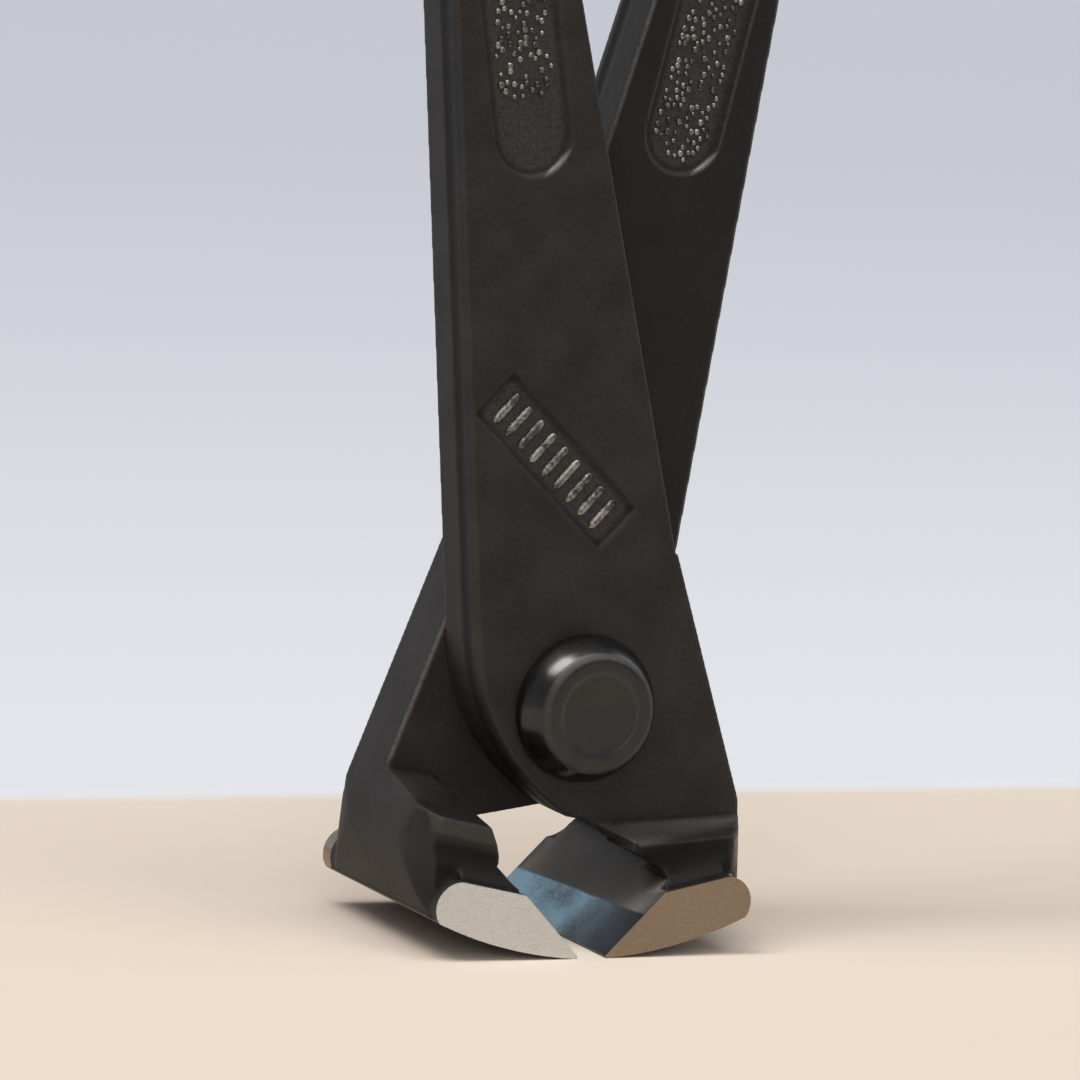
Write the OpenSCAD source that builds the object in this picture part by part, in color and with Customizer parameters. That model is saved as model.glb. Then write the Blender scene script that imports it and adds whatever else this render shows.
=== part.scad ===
// End cutting nippers with long handles.
// Two equal forged levers lie flat against each other and turn on one rivet.
// Each lever is drawn with the jaws closed and the rivet's axis at the origin:
// x runs across the tool, y through its thickness, z up along the handles.

/* [Overall] */
// Length from the cutting edges to the ends of the steel handles
overall_length = 300; // [240:1:340]
// Angle between the levers as the tool stands, in degrees; 0 is closed
rest_opening = 6.9; // [2:0.1:12]

/* [Joint] */
// Thickness of each lever's plate and handle
plate_t = 7; // [5:0.1:8]
// Running gap between the two plates
lap_gap = 0.1; // [0.04:0.02:0.3]
// Diameter of the rivet's shank
shank_d = 8; // [6:0.1:9]
// Gap between the shank and the bores, on the radius
bore_clearance = 0.05; // [0.02:0.01:0.1]
// Diameter of the rivet's head where it meets the plate
head_d = 13.5; // [11:0.1:15]
// Diameter of the flat face of the rivet's head
head_face_d = 10; // [7:0.1:11]
// Height of the rivet's head
head_h = 3.5; // [2:0.1:4.5]
// Height of the straight rim at the foot of the rivet's head
head_rim = 0.7; // [0.3:0.1:1.2]
// Steel left between the rivet's head and the plate's heel
heel_margin = 1.55; // [1:0.05:3]
// Radius of the plate's rounded heel
heel_r = 20.3; // [17:0.1:24]
// Direction from the rivet to the centre of the heel's arc, in degrees
heel_dir = 37; // [32:1:42]

/* [Jaws] */
// Length of the cutting edges
jaw_width = 24.8; // [22:0.1:30]
// Distance from the rivet's axis down to the cutting edges
edge_drop = 21.9; // [20.5:0.1:24]
// Gap left between the cutting edges when closed
edge_gap = 0.1; // [0.04:0.02:0.3]
// Height of the small flat that forms each cutting edge
edge_land = 0.2; // [0.1:0.05:0.5]
// Slope of the bevel behind the cutting edge, in degrees
bevel_angle = 42; // [38:0.5:46]
// Width across both jaws at their widest, closed
head_w = 33; // [30:0.1:38]
// Depth below the rivet's axis where the jaws are widest
widest_drop = 12.6; // [11.5:0.1:14]
// Radius of the jaws' rounded outer faces
face_r = 11; // [10:0.1:13]
// Radius of the ground end face, centred between the jaws
end_r = 39.4; // [32:0.1:60]
// Radius of the jaw block's outer corner on the plate's side, seen from above
plate_corner_r = 9; // [7:0.1:10]
// Distance from the lap where that corner starts
plate_corner_y = 4; // [3:0.1:5]
// Radius of the jaw block's outer corner on the lap side, seen from above
lap_corner_r = 6; // [5:0.1:8]
// Distance from the lap where that corner starts
lap_corner_y = 6.4; // [5.4:0.1:7]
// How far the jaw blocks stand in from the ends of the cutting edge
block_inset = 1.6; // [1.2:0.1:2.4]
// Depth of the hollow between the jaw block and its ground tip
neck_depth = 1.9; // [1.7:0.1:2.6]
// Radius of that hollow
neck_r = 2.4; // [2:0.1:3]
// Slope of the hollow and the lap side's ledge along the jaw, in degrees
jaw_tilt = 8.4; // [5:0.1:11]
// Slope of the ledge on the plate's side along the jaw, in degrees
outer_tilt = -0.5; // [-2:0.1:2]
// Depth of the ground tip's upper edge below the rivet, along the tilted jaw
tip_top = 17; // [16.4:0.1:17.6]
// How far the ground tip's rounded nose stands in from the jaw's full width
nose_inset = 1.8; // [1.2:0.1:2.4]
// Radius of the ground tip's rounded nose
nose_r = 2.4; // [1.8:0.1:2.6]
// Depth of the ledge on the plate's side, where it leaves the plate
outer_ledge = 10.9; // [10.4:0.1:11.6]
// Fall of that ledge out to the jaw block's side
outer_ledge_fall = 1.2; // [0.4:0.1:1.6]
// Depth of the ledge on the lap side, where it leaves the lap
lap_ledge = 9.6; // [9.2:0.1:10.2]
// Fall of that ledge out to the jaw block's side
lap_ledge_fall = 2.3; // [1:0.1:2.8]
// Distance of the lap side's inner wall from the middle
lap_wall = 8.1; // [7.8:0.1:9]
// Depth below the rivet's axis where that wall starts to lean outward
wall_bend = 13.3; // [12.6:0.1:13.5]
// Lean of that wall's upper part, in degrees
wall_lean = 26; // [16:1:32]
// Depth of the throat's roof below the rivet's axis, on the middle line
throat_drop = 10.4; // [9.8:0.1:11]
// Slope of the throat's roof, in degrees
roof_angle = 12; // [8:0.5:16]
// Radius in the corner of the throat
throat_r = 2; // [1.4:0.1:2.4]
// Depth of the jaw block's own roof where it stands out from the plate
brow_drop = 10.9; // [10.5:0.1:11.4]
// Slope of that roof, in degrees
brow_angle = 29; // [25:0.5:33]
// Radius in the corner under that roof
brow_r = 0.9; // [0.5:0.1:1.4]

/* [Handles] */
// Width of the handles
handle_w = 11; // [9:0.1:13]
// Lean of the plate's outer edge, in degrees
outer_lean = 3.4; // [2:0.1:5]
// Height above the rivet where the plate has narrowed to the handle
neck_z = 74; // [66:1:84]
// Distance from the middle to the corner between handle and jaw
cheek_x = 9.3; // [8.5:0.1:10]
// Height of that corner above the rivet
cheek_z = 13.5; // [11:0.5:16]
// Lean of the handle where it leaves the plate, in degrees
handle_lean = 7.8; // [6:0.1:9]
// Radius of the handles' long outward bow
bow_r = 1000; // [800:10:1100]

/* [Panels] */
// Depth of the sunk panels
panel_depth = 0.45; // [0.2:0.05:0.8]
// Width of the long panel on each handle face
panel_w = 7.4; // [5:0.1:8]
// How far the long panel reaches down below the handle's start
panel_back = 23; // [12:1:26]
// How far the long panel reaches up the bow
panel_up = 46; // [20:1:60]
// Length of the slanting panel on the plate
badge_l = 18; // [12:0.5:18.5]
// Width of the slanting panel
badge_w = 5.2; // [3:0.1:6]
// Turn of the slanting panel, in degrees
badge_turn = 46; // [40:1:50]
// Height of the slanting panel's middle above the rivet
badge_z = 22.6; // [21:0.1:25]
// Offset of the slanting panel's middle towards the outer edge
badge_x = 3.2; // [2:0.1:3.4]

/* [Sleeves] */
// Length of the dipped sleeves on the handle ends
sleeve_l = 128; // [80:1:150]
// Wall of the sleeves
sleeve_wall = 1.6; // [1:0.1:2.5]
// Gap between a sleeve and its handle
sleeve_fit = 0.05; // [0.02:0.01:0.1]

/* [Hidden] */
$fn = 96;
bow_fn = 720;
// Reach of cutting shapes that have no end of their own, and a small overlap
far = 60;
over = 1;

// Colours
black_steel = [0.18, 0.17, 0.165];
rivet_black = [0.15, 0.145, 0.14];
sleeve_black = [0.09, 0.09, 0.1];

// Rest pose
half_opening = rest_opening / 2;
edge_x = edge_gap / 2;
pivot_z = edge_drop * cos(half_opening) - edge_x * sin(half_opening);

// Heel of the plate, tangent to the plate's outer edge
axis_c = [0, 0];
heel_c = (heel_r - head_d / 2 - heel_margin) * [cos(heel_dir), sin(heel_dir)];
heel_t = heel_c - heel_r * [cos(outer_lean), sin(outer_lean)];

// Handle path: it leaves the plate, bows outward and ends upright
neck_out = [heel_t[0] - (neck_z - heel_t[1]) * tan(outer_lean), neck_z];
neck_in = neck_out + handle_w * [cos(handle_lean), sin(handle_lean)];
neck_mid = (neck_out + neck_in) / 2;
bow_c = neck_mid + bow_r * [cos(handle_lean), sin(handle_lean)];
bow_reach = 1.1 * bow_r;
grip_x = bow_c[0] - bow_r;
handle_top = overall_length - edge_drop;
cheek = [cheek_x, cheek_z];

// Jaw outline, right-hand jaw
jaw_x = head_w / 2;
jaw_bottom = -edge_drop - over;
end_c = [0, end_r - edge_drop];
face_c = [jaw_x - face_r, -widest_drop];
face_to_cheek = cheek - face_c;
face_turn = atan2(face_to_cheek[1], face_to_cheek[0]) - acos(face_r / norm(face_to_cheek));
face_top = face_c + face_r * [cos(face_turn), sin(face_turn)];
bevel_z = edge_land - edge_drop;
function bevel_at(x) = bevel_z + (x - edge_x) * tan(bevel_angle);

// Ground tip: upper edge, rounded nose and the hollow above it
nose_x = jaw_x - nose_inset - nose_r;
nose_z = nose_x * tan(jaw_tilt) - (tip_top + nose_r) / cos(jaw_tilt);
block_y = jaw_width / 2 - block_inset;
neck_y = jaw_width / 2 - neck_depth + neck_r;
neck_z_mid = sqrt(neck_r * neck_r - pow(neck_y - jaw_width / 2, 2)) - tip_top;
lap_y = lap_gap / 2;

// Rivet: edge break, ring and shallow dish of each head's face
face_break = 0.5;
face_ring = 1.2;
face_dish = 0.15;

// Sleeves
sleeve_w = handle_w + 2 * sleeve_wall;
sleeve_t = plate_t - lap_y + 2 * sleeve_wall;
sleeve_start = handle_top - sleeve_l;
sleeve_from = sleeve_start < bow_c[1] ? asin((bow_c[1] - sleeve_start) / bow_r) : 0;
sleeve_straight = max(sleeve_start, bow_c[1]);

// Stands a drawing in x and z up, from y_front back to y_back
module slab(y_front, y_back) {
    translate([0, y_back, 0])
        rotate([90, 0, 0])
            linear_extrude(y_back - y_front)
                children();
}

// Stretch of the handles' bow between two leans, as a band of width w
module bow_band(w, lean_from, lean_to) {
    intersection() {
        translate(bow_c)
            difference() {
                circle(bow_r + w / 2, $fn = bow_fn);
                circle(bow_r - w / 2, $fn = bow_fn);
            }
        polygon([
            bow_c,
            bow_c - bow_reach * [cos(lean_from), sin(lean_from)],
            bow_c - bow_reach * [cos(lean_to), sin(lean_to)]
        ]);
    }
}

// Upright stretch at the end of a handle, with a round top
module end_band(w, from_z, top_z) {
    translate([grip_x - w / 2, from_z])
        square([w, top_z - w / 2 - from_z]);
    translate([grip_x, top_z - w / 2])
        circle(w / 2);
}

// Lap plate with its heel, up to the start of the handle
module plate_outline() {
    polygon([heel_t, axis_c, cheek, neck_in, neck_out]);
    intersection() {
        translate(heel_c)
            circle(heel_r);
        polygon([
            2 * heel_t,
            [2 * heel_t[0], -far],
            [face_top[0], -far],
            face_top,
            cheek,
            axis_c
        ]);
    }
}

module handle_outline() {
    bow_band(handle_w, handle_lean, 0);
    end_band(handle_w, bow_c[1], handle_top);
}

// Outer form of the jaw, rounded outside, down to the ground end face
module jaw_outline() {
    intersection() {
        union() {
            polygon([
                [edge_x, jaw_bottom],
                [face_c[0], jaw_bottom],
                face_c,
                face_top,
                cheek,
                [edge_x, 0]
            ]);
            intersection() {
                translate(face_c)
                    circle(face_r);
                polygon([face_c, [face_c[0], jaw_bottom], [far, jaw_bottom], [far, 0], face_top]);
            }
        }
        translate(end_c)
            circle(end_r, $fn = bow_fn);
    }
}

// Throat between bevel and roof, which meet in a corner of radius r
module throat(drop, roof, r) {
    corner_x = (drop + bevel_z - edge_x * tan(bevel_angle)) / -(tan(bevel_angle) + tan(roof));
    bevel_n = [-sin(bevel_angle), cos(bevel_angle)];
    roof_n = [-sin(roof), -cos(roof)];
    spread = r / (1 - cos(bevel_angle + roof));
    centre = [corner_x, bevel_at(corner_x)] + spread * (bevel_n + roof_n);
    roof_end = centre - r * roof_n;
    polygon([
        [edge_x, jaw_bottom],
        [edge_x, bevel_z],
        centre - r * bevel_n,
        centre,
        roof_end,
        [-far, roof_end[1] + (roof_end[0] + far) * tan(roof)],
        [-far, jaw_bottom]
    ]);
    translate(centre)
        circle(r);
}

// Room that the lap side of the jaw leaves for the other lever's heel
module lap_room() {
    polygon([
        [edge_x, jaw_bottom],
        [edge_x, bevel_z],
        [lap_wall, bevel_at(lap_wall)],
        [lap_wall, -wall_bend],
        [lap_wall + wall_bend * tan(wall_lean), 0],
        [-far, 0],
        [-far, jaw_bottom]
    ]);
}

// Ground tip seen from the front, with the steel behind the hollow above it
module tip_outline() {
    intersection() {
        union() {
            polygon([
                [edge_x, jaw_bottom],
                [edge_x, -widest_drop],
                [nose_x, -widest_drop],
                [nose_x, jaw_bottom]
            ]);
            translate([nose_x, nose_z])
                circle(nose_r);
        }
        translate(end_c)
            circle(end_r, $fn = bow_fn);
    }
}

// Extrudes a drawing in y and z along the jaw, at a tilt
module along_jaw(tilt) {
    rotate([0, -tilt, 0])
        rotate([90, 0, 90])
            linear_extrude(far, center = true)
                children();
}

module hollows() {
    for (side = [-1, 1])
        translate([side * neck_y, neck_z_mid])
            circle(neck_r);
}

// Side view of the jaw block: its ledge on the plate's side
module plate_side() {
    polygon([
        [-plate_t, 0],
        [-plate_t, -outer_ledge],
        [-block_y, -outer_ledge - outer_ledge_fall],
        [-block_y, -far],
        [far, -far],
        [far, 0]
    ]);
}

// Side view of the jaw block: its ledge on the lap side, and the hollows
module lap_side() {
    difference() {
        polygon([
            [-far, 0],
            [-far, -far],
            [block_y, -far],
            [block_y, -lap_ledge - lap_ledge_fall],
            [-lap_y, -lap_ledge],
            [-lap_y, 0]
        ]);
        hollows();
    }
}

// Side view of the ground tip, full width below its hollows
module tip_section() {
    difference() {
        polygon([
            [-jaw_width / 2, -far],
            [jaw_width / 2, -far],
            [jaw_width / 2, neck_z_mid],
            [-jaw_width / 2, neck_z_mid]
        ]);
        hollows();
    }
}

// Half of the jaw block's top view, with its outer corner rounded
module plan_half(r, corner_y) {
    translate([-over, -over])
        square([jaw_x + over, corner_y + over]);
    intersection() {
        union() {
            translate([-over, 0])
                square([jaw_x - r + over, block_y]);
            translate([jaw_x - r, corner_y])
                circle(r);
        }
        translate([-over, 0])
            square([jaw_x + over, block_y]);
    }
}

module block_plan() {
    plan_half(lap_corner_r, lap_corner_y);
    mirror([0, 1])
        plan_half(plate_corner_r, plate_corner_y);
}

module jaw_block() {
    intersection() {
        slab(-jaw_width, jaw_width)
            jaw_outline();
        along_jaw(outer_tilt)
            plate_side();
        along_jaw(jaw_tilt)
            lap_side();
        translate([0, 0, -far])
            linear_extrude(2 * far)
                block_plan();
    }
}

module ground_tip() {
    intersection() {
        slab(-jaw_width / 2, jaw_width / 2)
            tip_outline();
        along_jaw(jaw_tilt)
            tip_section();
    }
}

// Long panel sunk into a handle face, with round ends
module panel_outline() {
    up_lean = handle_lean - panel_up / bow_r * 180 / PI;
    along = [-sin(handle_lean), cos(handle_lean)];
    bow_band(panel_w, handle_lean, up_lean);
    translate(bow_c - bow_r * [cos(up_lean), sin(up_lean)])
        circle(panel_w / 2);
    translate(neck_mid)
        rotate(handle_lean)
            translate([-panel_w / 2, -panel_back])
                square([panel_w, panel_back]);
    translate(neck_mid - panel_back * along)
        circle(panel_w / 2);
}

// Slanting panel on the plate's outer face, left bare
module badge_outline() {
    translate([-badge_x, badge_z])
        rotate(-badge_turn)
            square([badge_l, badge_w], center = true);
}

// One forged lever, closed, with its plate in front of the lap
module lever() {
    difference() {
        union() {
            slab(-plate_t, -lap_y) {
                plate_outline();
                handle_outline();
            }
            jaw_block();
            ground_tip();
        }
        slab(-jaw_width, -plate_t)
            throat(brow_drop, brow_angle, brow_r);
        slab(-plate_t, -lap_y)
            throat(throat_drop, roof_angle, throat_r);
        slab(-lap_y, jaw_width)
            lap_room();
        rotate([90, 0, 0])
            cylinder(h = far, d = shank_d + 2 * bore_clearance, center = true);
        slab(-plate_t - over, panel_depth - plate_t) {
            panel_outline();
            badge_outline();
        }
        slab(-lap_y - panel_depth, over)
            panel_outline();
    }
}

// Dipped sleeve with a pocket for the handle's end
module sleeve() {
    difference() {
        slab(-plate_t - sleeve_wall, sleeve_wall - lap_y) {
            bow_band(sleeve_w, sleeve_from, 0);
            end_band(sleeve_w, sleeve_straight, handle_top + sleeve_wall);
        }
        slab(-plate_t - sleeve_fit, sleeve_fit - lap_y) {
            bow_band(handle_w + 2 * sleeve_fit, handle_lean, 0);
            end_band(handle_w + 2 * sleeve_fit, bow_c[1], handle_top + sleeve_fit);
        }
    }
}

// Half of the rivet's profile: radius across, height up from the middle
module rivet_profile() {
    top = plate_t + head_h;
    flat_r = head_face_d / 2;
    polygon([
        [0, 0],
        [shank_d / 2, 0],
        [shank_d / 2, plate_t],
        [head_d / 2, plate_t],
        [head_d / 2, plate_t + head_rim],
        [flat_r + face_break, top - face_break],
        [flat_r, top],
        [flat_r - face_ring, top],
        [flat_r - face_ring - face_dish, top - face_dish],
        [0, top - face_dish]
    ]);
}

// Places a closed lever or sleeve on the front of the tool, opened to rest
module front_side() {
    translate([0, 0, pivot_z])
        rotate([0, -half_opening, 0])
            children();
}

// The same piece turned half round for the rear
module rear_side() {
    translate([0, 0, pivot_z])
        rotate([0, half_opening, 0])
            rotate([0, 0, 180])
                children();
}

module front_lever() {
    color(black_steel)
        front_side()
            lever();
}

module rear_lever() {
    color(black_steel)
        rear_side()
            lever();
}

module pivot_rivet() {
    color(rivet_black)
        translate([0, 0, pivot_z])
            for (turn = [90, -90])
                rotate([turn, 0, 0])
                    rotate_extrude()
                        rivet_profile();
}

module front_sleeve() {
    color(sleeve_black)
        front_side()
            sleeve();
}

module rear_sleeve() {
    color(sleeve_black)
        rear_side()
            sleeve();
}

front_lever();
rear_lever();
pivot_rivet();
front_sleeve();
rear_sleeve();
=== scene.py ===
import math

import bmesh
import bpy
import numpy as np
from mathutils import Matrix, Vector


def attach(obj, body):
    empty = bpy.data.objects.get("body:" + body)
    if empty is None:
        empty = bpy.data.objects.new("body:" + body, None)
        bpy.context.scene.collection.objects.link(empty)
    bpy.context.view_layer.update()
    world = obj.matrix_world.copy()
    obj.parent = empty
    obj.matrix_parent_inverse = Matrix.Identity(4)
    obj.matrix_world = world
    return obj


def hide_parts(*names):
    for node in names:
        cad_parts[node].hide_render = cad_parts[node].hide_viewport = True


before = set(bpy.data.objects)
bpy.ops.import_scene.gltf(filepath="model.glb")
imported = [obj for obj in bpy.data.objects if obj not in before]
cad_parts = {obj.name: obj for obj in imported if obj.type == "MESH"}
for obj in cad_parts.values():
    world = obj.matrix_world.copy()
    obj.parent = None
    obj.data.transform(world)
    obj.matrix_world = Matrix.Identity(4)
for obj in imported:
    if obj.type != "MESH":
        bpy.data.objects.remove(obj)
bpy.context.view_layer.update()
print("frame loaded:", ", ".join(sorted(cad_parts)))

# sizes of the solids that the dressing follows, in mm, on a closed lever with the rivet at the origin
solid = {
    "pivotZ": 21.857,        # rivet's axis above the floor
    "opening": 6.9,          # degrees between the levers at rest
    "plate": 7.0,
    "lapHalf": 0.05,
    "handleWidth": 11.0,
    "handleTop": 278.1,
    "handleLean": 7.8,
    "outerLean": 3.4,
    "bowRadius": 1000.0,
    "neckZ": 74.0,
    "heelCentre": (9.5836, 7.2218),
    "heelRadius": 20.3,
    "cheek": (9.3, 13.5),
    "jawHalf": 12.4,
    "blockHalf": 10.8,
    "nose": (12.3, -17.79),  # middle of the tip's rounded nose
    "noseRadius": 2.4,
    "tipTop": 17.0,
    "jawTilt": 8.4,
    "edgeDrop": 21.9,
    "edgeLand": 0.2,
    "edgeHalf": 0.05,
    "bevel": 42.0,
    "endRadius": 39.4,
    "badge": (-3.2, 22.6),
    "badgeTurn": 46.0,
    "badgeSize": (18.0, 5.2),
    "panelWidth": 7.4,
    "panelBack": 23.0,
    "panelUp": 46.0,
    "panelDepth": 0.45,
    "sleeveLength": 128.0,
    "sleeveWall": 1.6,
}
halfTurn = math.radians(solid["opening"] / 2)
pivot = Vector((0, 0, solid["pivotZ"]))


def deg(angle):
    return math.cos(math.radians(angle)), math.sin(math.radians(angle))


def leverTurn(side):
    if side == "front":
        return Matrix.Rotation(-halfTurn, 4, "Y")
    return Matrix.Rotation(halfTurn, 4, "Y") @ Matrix.Rotation(math.pi, 4, "Z")


def leverPlace(side):  # closed lever in mm to the frame in metres
    return Matrix.Scale(0.001, 4) @ Matrix.Translation(pivot) @ leverTurn(side)


sideBody = {"front": "front_half", "rear": "rear_half"}

# outline of plate and handle, from the same sizes
leanCos, leanSin = deg(solid["outerLean"])
heelC = np.array(solid["heelCentre"])
heelT = heelC - solid["heelRadius"] * np.array([leanCos, leanSin])
bowCos, bowSin = deg(solid["handleLean"])
neckOut = np.array([heelT[0] - (solid["neckZ"] - heelT[1]) * leanSin / leanCos, solid["neckZ"]])
neckIn = neckOut + solid["handleWidth"] * np.array([bowCos, bowSin])
neckMid = (neckOut + neckIn) / 2
bowC = neckMid + solid["bowRadius"] * np.array([bowCos, bowSin])
gripX = bowC[0] - solid["bowRadius"]
cheek = np.array(solid["cheek"])
tiltCos, tiltSin = deg(solid["jawTilt"])
bevelCos, bevelSin = deg(solid["bevel"])


def jawDepth(x, z):  # depth down the tilted jaw
    return x * tiltSin - z * tiltCos


# Node helpers

def mathNode(operation):  # an operator that adds a Math node
    def apply(self, *others):
        return self.graph.node("ShaderNodeMath", {"operation": operation}, dict(enumerate((self, *others))))

    return apply


def reflected(operation):  # the same with a number on the left
    def apply(self, other):
        return self.graph.node("ShaderNodeMath", {"operation": operation}, {0: other, 1: self})

    return apply


class Value:  # a socket that takes part in Python expressions
    __add__, __radd__ = mathNode("ADD"), reflected("ADD")
    __sub__, __rsub__ = mathNode("SUBTRACT"), reflected("SUBTRACT")
    __mul__, __rmul__ = mathNode("MULTIPLY"), reflected("MULTIPLY")
    __truediv__, __rtruediv__ = mathNode("DIVIDE"), reflected("DIVIDE")
    __pow__, __abs__ = mathNode("POWER"), mathNode("ABSOLUTE")
    root, least, most = mathNode("SQRT"), mathNode("MINIMUM"), mathNode("MAXIMUM")

    def __init__(self, graph, socket):
        self.graph = graph
        self.socket = socket

    def __neg__(self):
        return self * -1

    def rise(self, low, high):  # 0 below low, 1 above high, soft between
        return self.graph.node(
            "ShaderNodeMapRange", {"interpolation_type": "SMOOTHSTEP"},
            {"Value": self, "From Min": low, "From Max": high})

    def out(self, name):  # another output of the same node
        return Value(self.graph, self.socket.node.outputs[name])


class Graph:  # a node tree that nodes are added to
    def __init__(self, tree):
        self.tree = tree

    def node(self, kind, settings=None, sockets=None, out=0):
        made = self.tree.nodes.new(kind)
        for key, setting in (settings or {}).items():
            setattr(made, key, setting)
        for key, value in (sockets or {}).items():
            if isinstance(value, Value):
                self.tree.links.new(value.socket, made.inputs[key])
            else:
                made.inputs[key].default_value = value
        return Value(self, made.outputs[out]) if len(made.outputs) else None

    def mix(self, factor, first, second):  # colours
        return self.node("ShaderNodeMix", {"data_type": "RGBA"}, {0: factor, 6: first, 7: second}, out=2)

    def noise(self, point, scale, detail=3.0, rough=0.5):
        return self.node("ShaderNodeTexNoise", {}, {
            "Vector": point, "Scale": scale, "Detail": detail, "Roughness": rough})

    def stretch(self, point, scale):
        return self.node("ShaderNodeMapping", {}, {"Vector": point, "Scale": scale})

    def own(self):  # the piece's own place, in metres
        return self.node("ShaderNodeTexCoord", {}, {}, out="Object")

    def parts(self, point):  # its x, y and z
        split = self.node("ShaderNodeSeparateXYZ", {}, {"Vector": point})
        return split, split.out("Y"), split.out("Z")

    def point(self, x=0.0, y=0.0, z=0.0):
        return self.node("ShaderNodeCombineXYZ", {}, {"X": x, "Y": y, "Z": z})

    def mark(self, name):  # an attribute of the mesh
        return self.node("ShaderNodeAttribute", {"attribute_name": name}, {}, out="Fac")


def newFinish(name):
    material = bpy.data.materials.new(name)
    material.use_nodes = True
    material.node_tree.nodes.clear()
    return material, Graph(material.node_tree)


def shade(graph, colour, rough, height, metal=0.0, specular=0.5):  # height of the relief in mm
    normal = graph.node("ShaderNodeBump", {}, {"Height": height, "Strength": 1.0, "Distance": 0.001})
    surface = graph.node("ShaderNodeBsdfPrincipled", {}, {
        "Base Color": colour, "Roughness": rough, "Metallic": metal,
        "Specular IOR Level": specular, "Normal": normal})
    graph.node("ShaderNodeOutputMaterial", {}, {"Surface": surface})


def inMm(graph):  # the piece's own place, in mm
    return graph.stretch(graph.own(), (1000, 1000, 1000))


def onLever(graph, side):  # the same point on the closed lever, in mm
    back = leverTurn(side).inverted()
    return graph.node("ShaderNodeMapping", {}, {
        "Vector": graph.own(),
        "Scale": (1000, 1000, 1000),
        "Rotation": tuple(back.to_euler()),
        "Location": tuple(-(back @ pivot))})


def link(obj):
    bpy.context.scene.collection.objects.link(obj)
    return obj


def evaluated(obj):  # the object's mesh with its modifiers, as a plain mesh
    depsgraph = bpy.context.evaluated_depsgraph_get()
    return bpy.data.meshes.new_from_object(obj.evaluated_get(depsgraph), depsgraph=depsgraph)


def vertexArray(mesh, name="co"):
    flat = np.zeros(len(mesh.vertices) * 3, np.float32)
    mesh.vertices.foreach_get(name, flat)
    return flat.reshape(-1, 3).astype(float)


def setPoints(mesh, co):
    mesh.vertices.foreach_set("co", co.astype(np.float32).ravel())
    mesh.update()


def newTree(name, inputs):
    tree = bpy.data.node_groups.new(name, "GeometryNodeTree")
    tree.interface.new_socket(name="Geometry", in_out="INPUT", socket_type="NodeSocketGeometry")
    for label, kind in inputs + [("Material", "Material")]:
        tree.interface.new_socket(name=label, in_out="INPUT", socket_type="NodeSocket" + kind)
    tree.interface.new_socket(name="Geometry", in_out="OUTPUT", socket_type="NodeSocketGeometry")
    graph = Graph(tree)
    return tree, graph, graph.node("NodeGroupInput", out="Geometry")


def endTree(graph, start, geometry):
    geometry = graph.node("GeometryNodeRealizeInstances", {}, {"Geometry": geometry})
    geometry = graph.node("GeometryNodeSetMaterial", {}, {
        "Geometry": geometry, "Material": start.out("Material")})
    graph.node("NodeGroupOutput", {}, {"Geometry": geometry})


def grow(obj, tree, values):  # runs the tree on obj and returns a plain mesh; obj goes
    link(obj)
    modifier = obj.modifiers.new(tree.name, "NODES")
    modifier.node_group = tree
    for item in tree.interface.items_tree:
        if item.item_type == "SOCKET" and item.in_out == "INPUT" and item.name in values:
            modifier[item.identifier] = values[item.name]
    mesh = evaluated(obj)
    obj.modifiers.remove(modifier)
    bpy.data.objects.remove(obj)
    return mesh


def putPiece(name, mesh, side, node=None):
    mesh.transform(leverPlace(side))
    piece = link(bpy.data.objects.new(name, mesh))
    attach(piece, sideBody[side])
    if node:
        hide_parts(node)


# Camera

camera = {
    "distance": 600.0,       # mm from the rivet
    "yaw": 26.7,             # degrees to the left of the front
    "pitch": 9.6,            # degrees above
    "roll": 4.4,             # the tool leans to the right
    "rivetAt": (549.5, 693.8),
    "pixelsPerMm": 11.0,
    "frame": 1080.0,
    "sensor": 36.0,
}


def makeCamera():
    yawCos, yawSin = deg(camera["yaw"])
    pitchCos, pitchSin = deg(camera["pitch"])
    rollCos, rollSin = deg(camera["roll"])
    right = Vector((yawCos, -yawSin, 0))
    up = Vector((pitchSin * yawSin, pitchSin * yawCos, pitchCos))
    back = Vector((-pitchCos * yawSin, -pitchCos * yawCos, pitchSin))
    right, up = rollCos * right + rollSin * up, rollCos * up - rollSin * right
    half = camera["frame"] / 2
    aim = pivot - right * ((camera["rivetAt"][0] - half) / camera["pixelsPerMm"])
    aim += up * ((camera["rivetAt"][1] - half) / camera["pixelsPerMm"])
    eye = pivot + back * camera["distance"]
    back = (eye - aim).normalized()
    right = (right - back * right.dot(back)).normalized()
    up = back.cross(right)
    camera["axes"] = (eye, right, up, back)
    data = bpy.data.cameras.new("photoCamera")
    data.sensor_width = camera["sensor"]
    data.lens = camera["sensor"] * camera["distance"] * camera["pixelsPerMm"] / camera["frame"]
    data.clip_start, data.clip_end = 0.01, 50
    obj = link(bpy.data.objects.new("photoCamera", data))
    turn = Matrix((right, up, back)).transposed().to_4x4()
    obj.matrix_world = Matrix.Translation(eye * 0.001) @ turn
    bpy.context.scene.camera = obj


def floorAt(across, down):  # the floor's point at a place in the frame, in metres
    eye, right, up, back = camera["axes"]
    half = camera["frame"] / 2
    ray = right * (across - half) + up * (half - down) - back * camera["distance"] * camera["pixelsPerMm"]
    return (eye - ray * (eye.z / ray.z)) * 0.001


makeCamera()
print("camera set")


# Forged levers: the solid's skin with its edges eased and the sides drafted from a parting line

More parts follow.
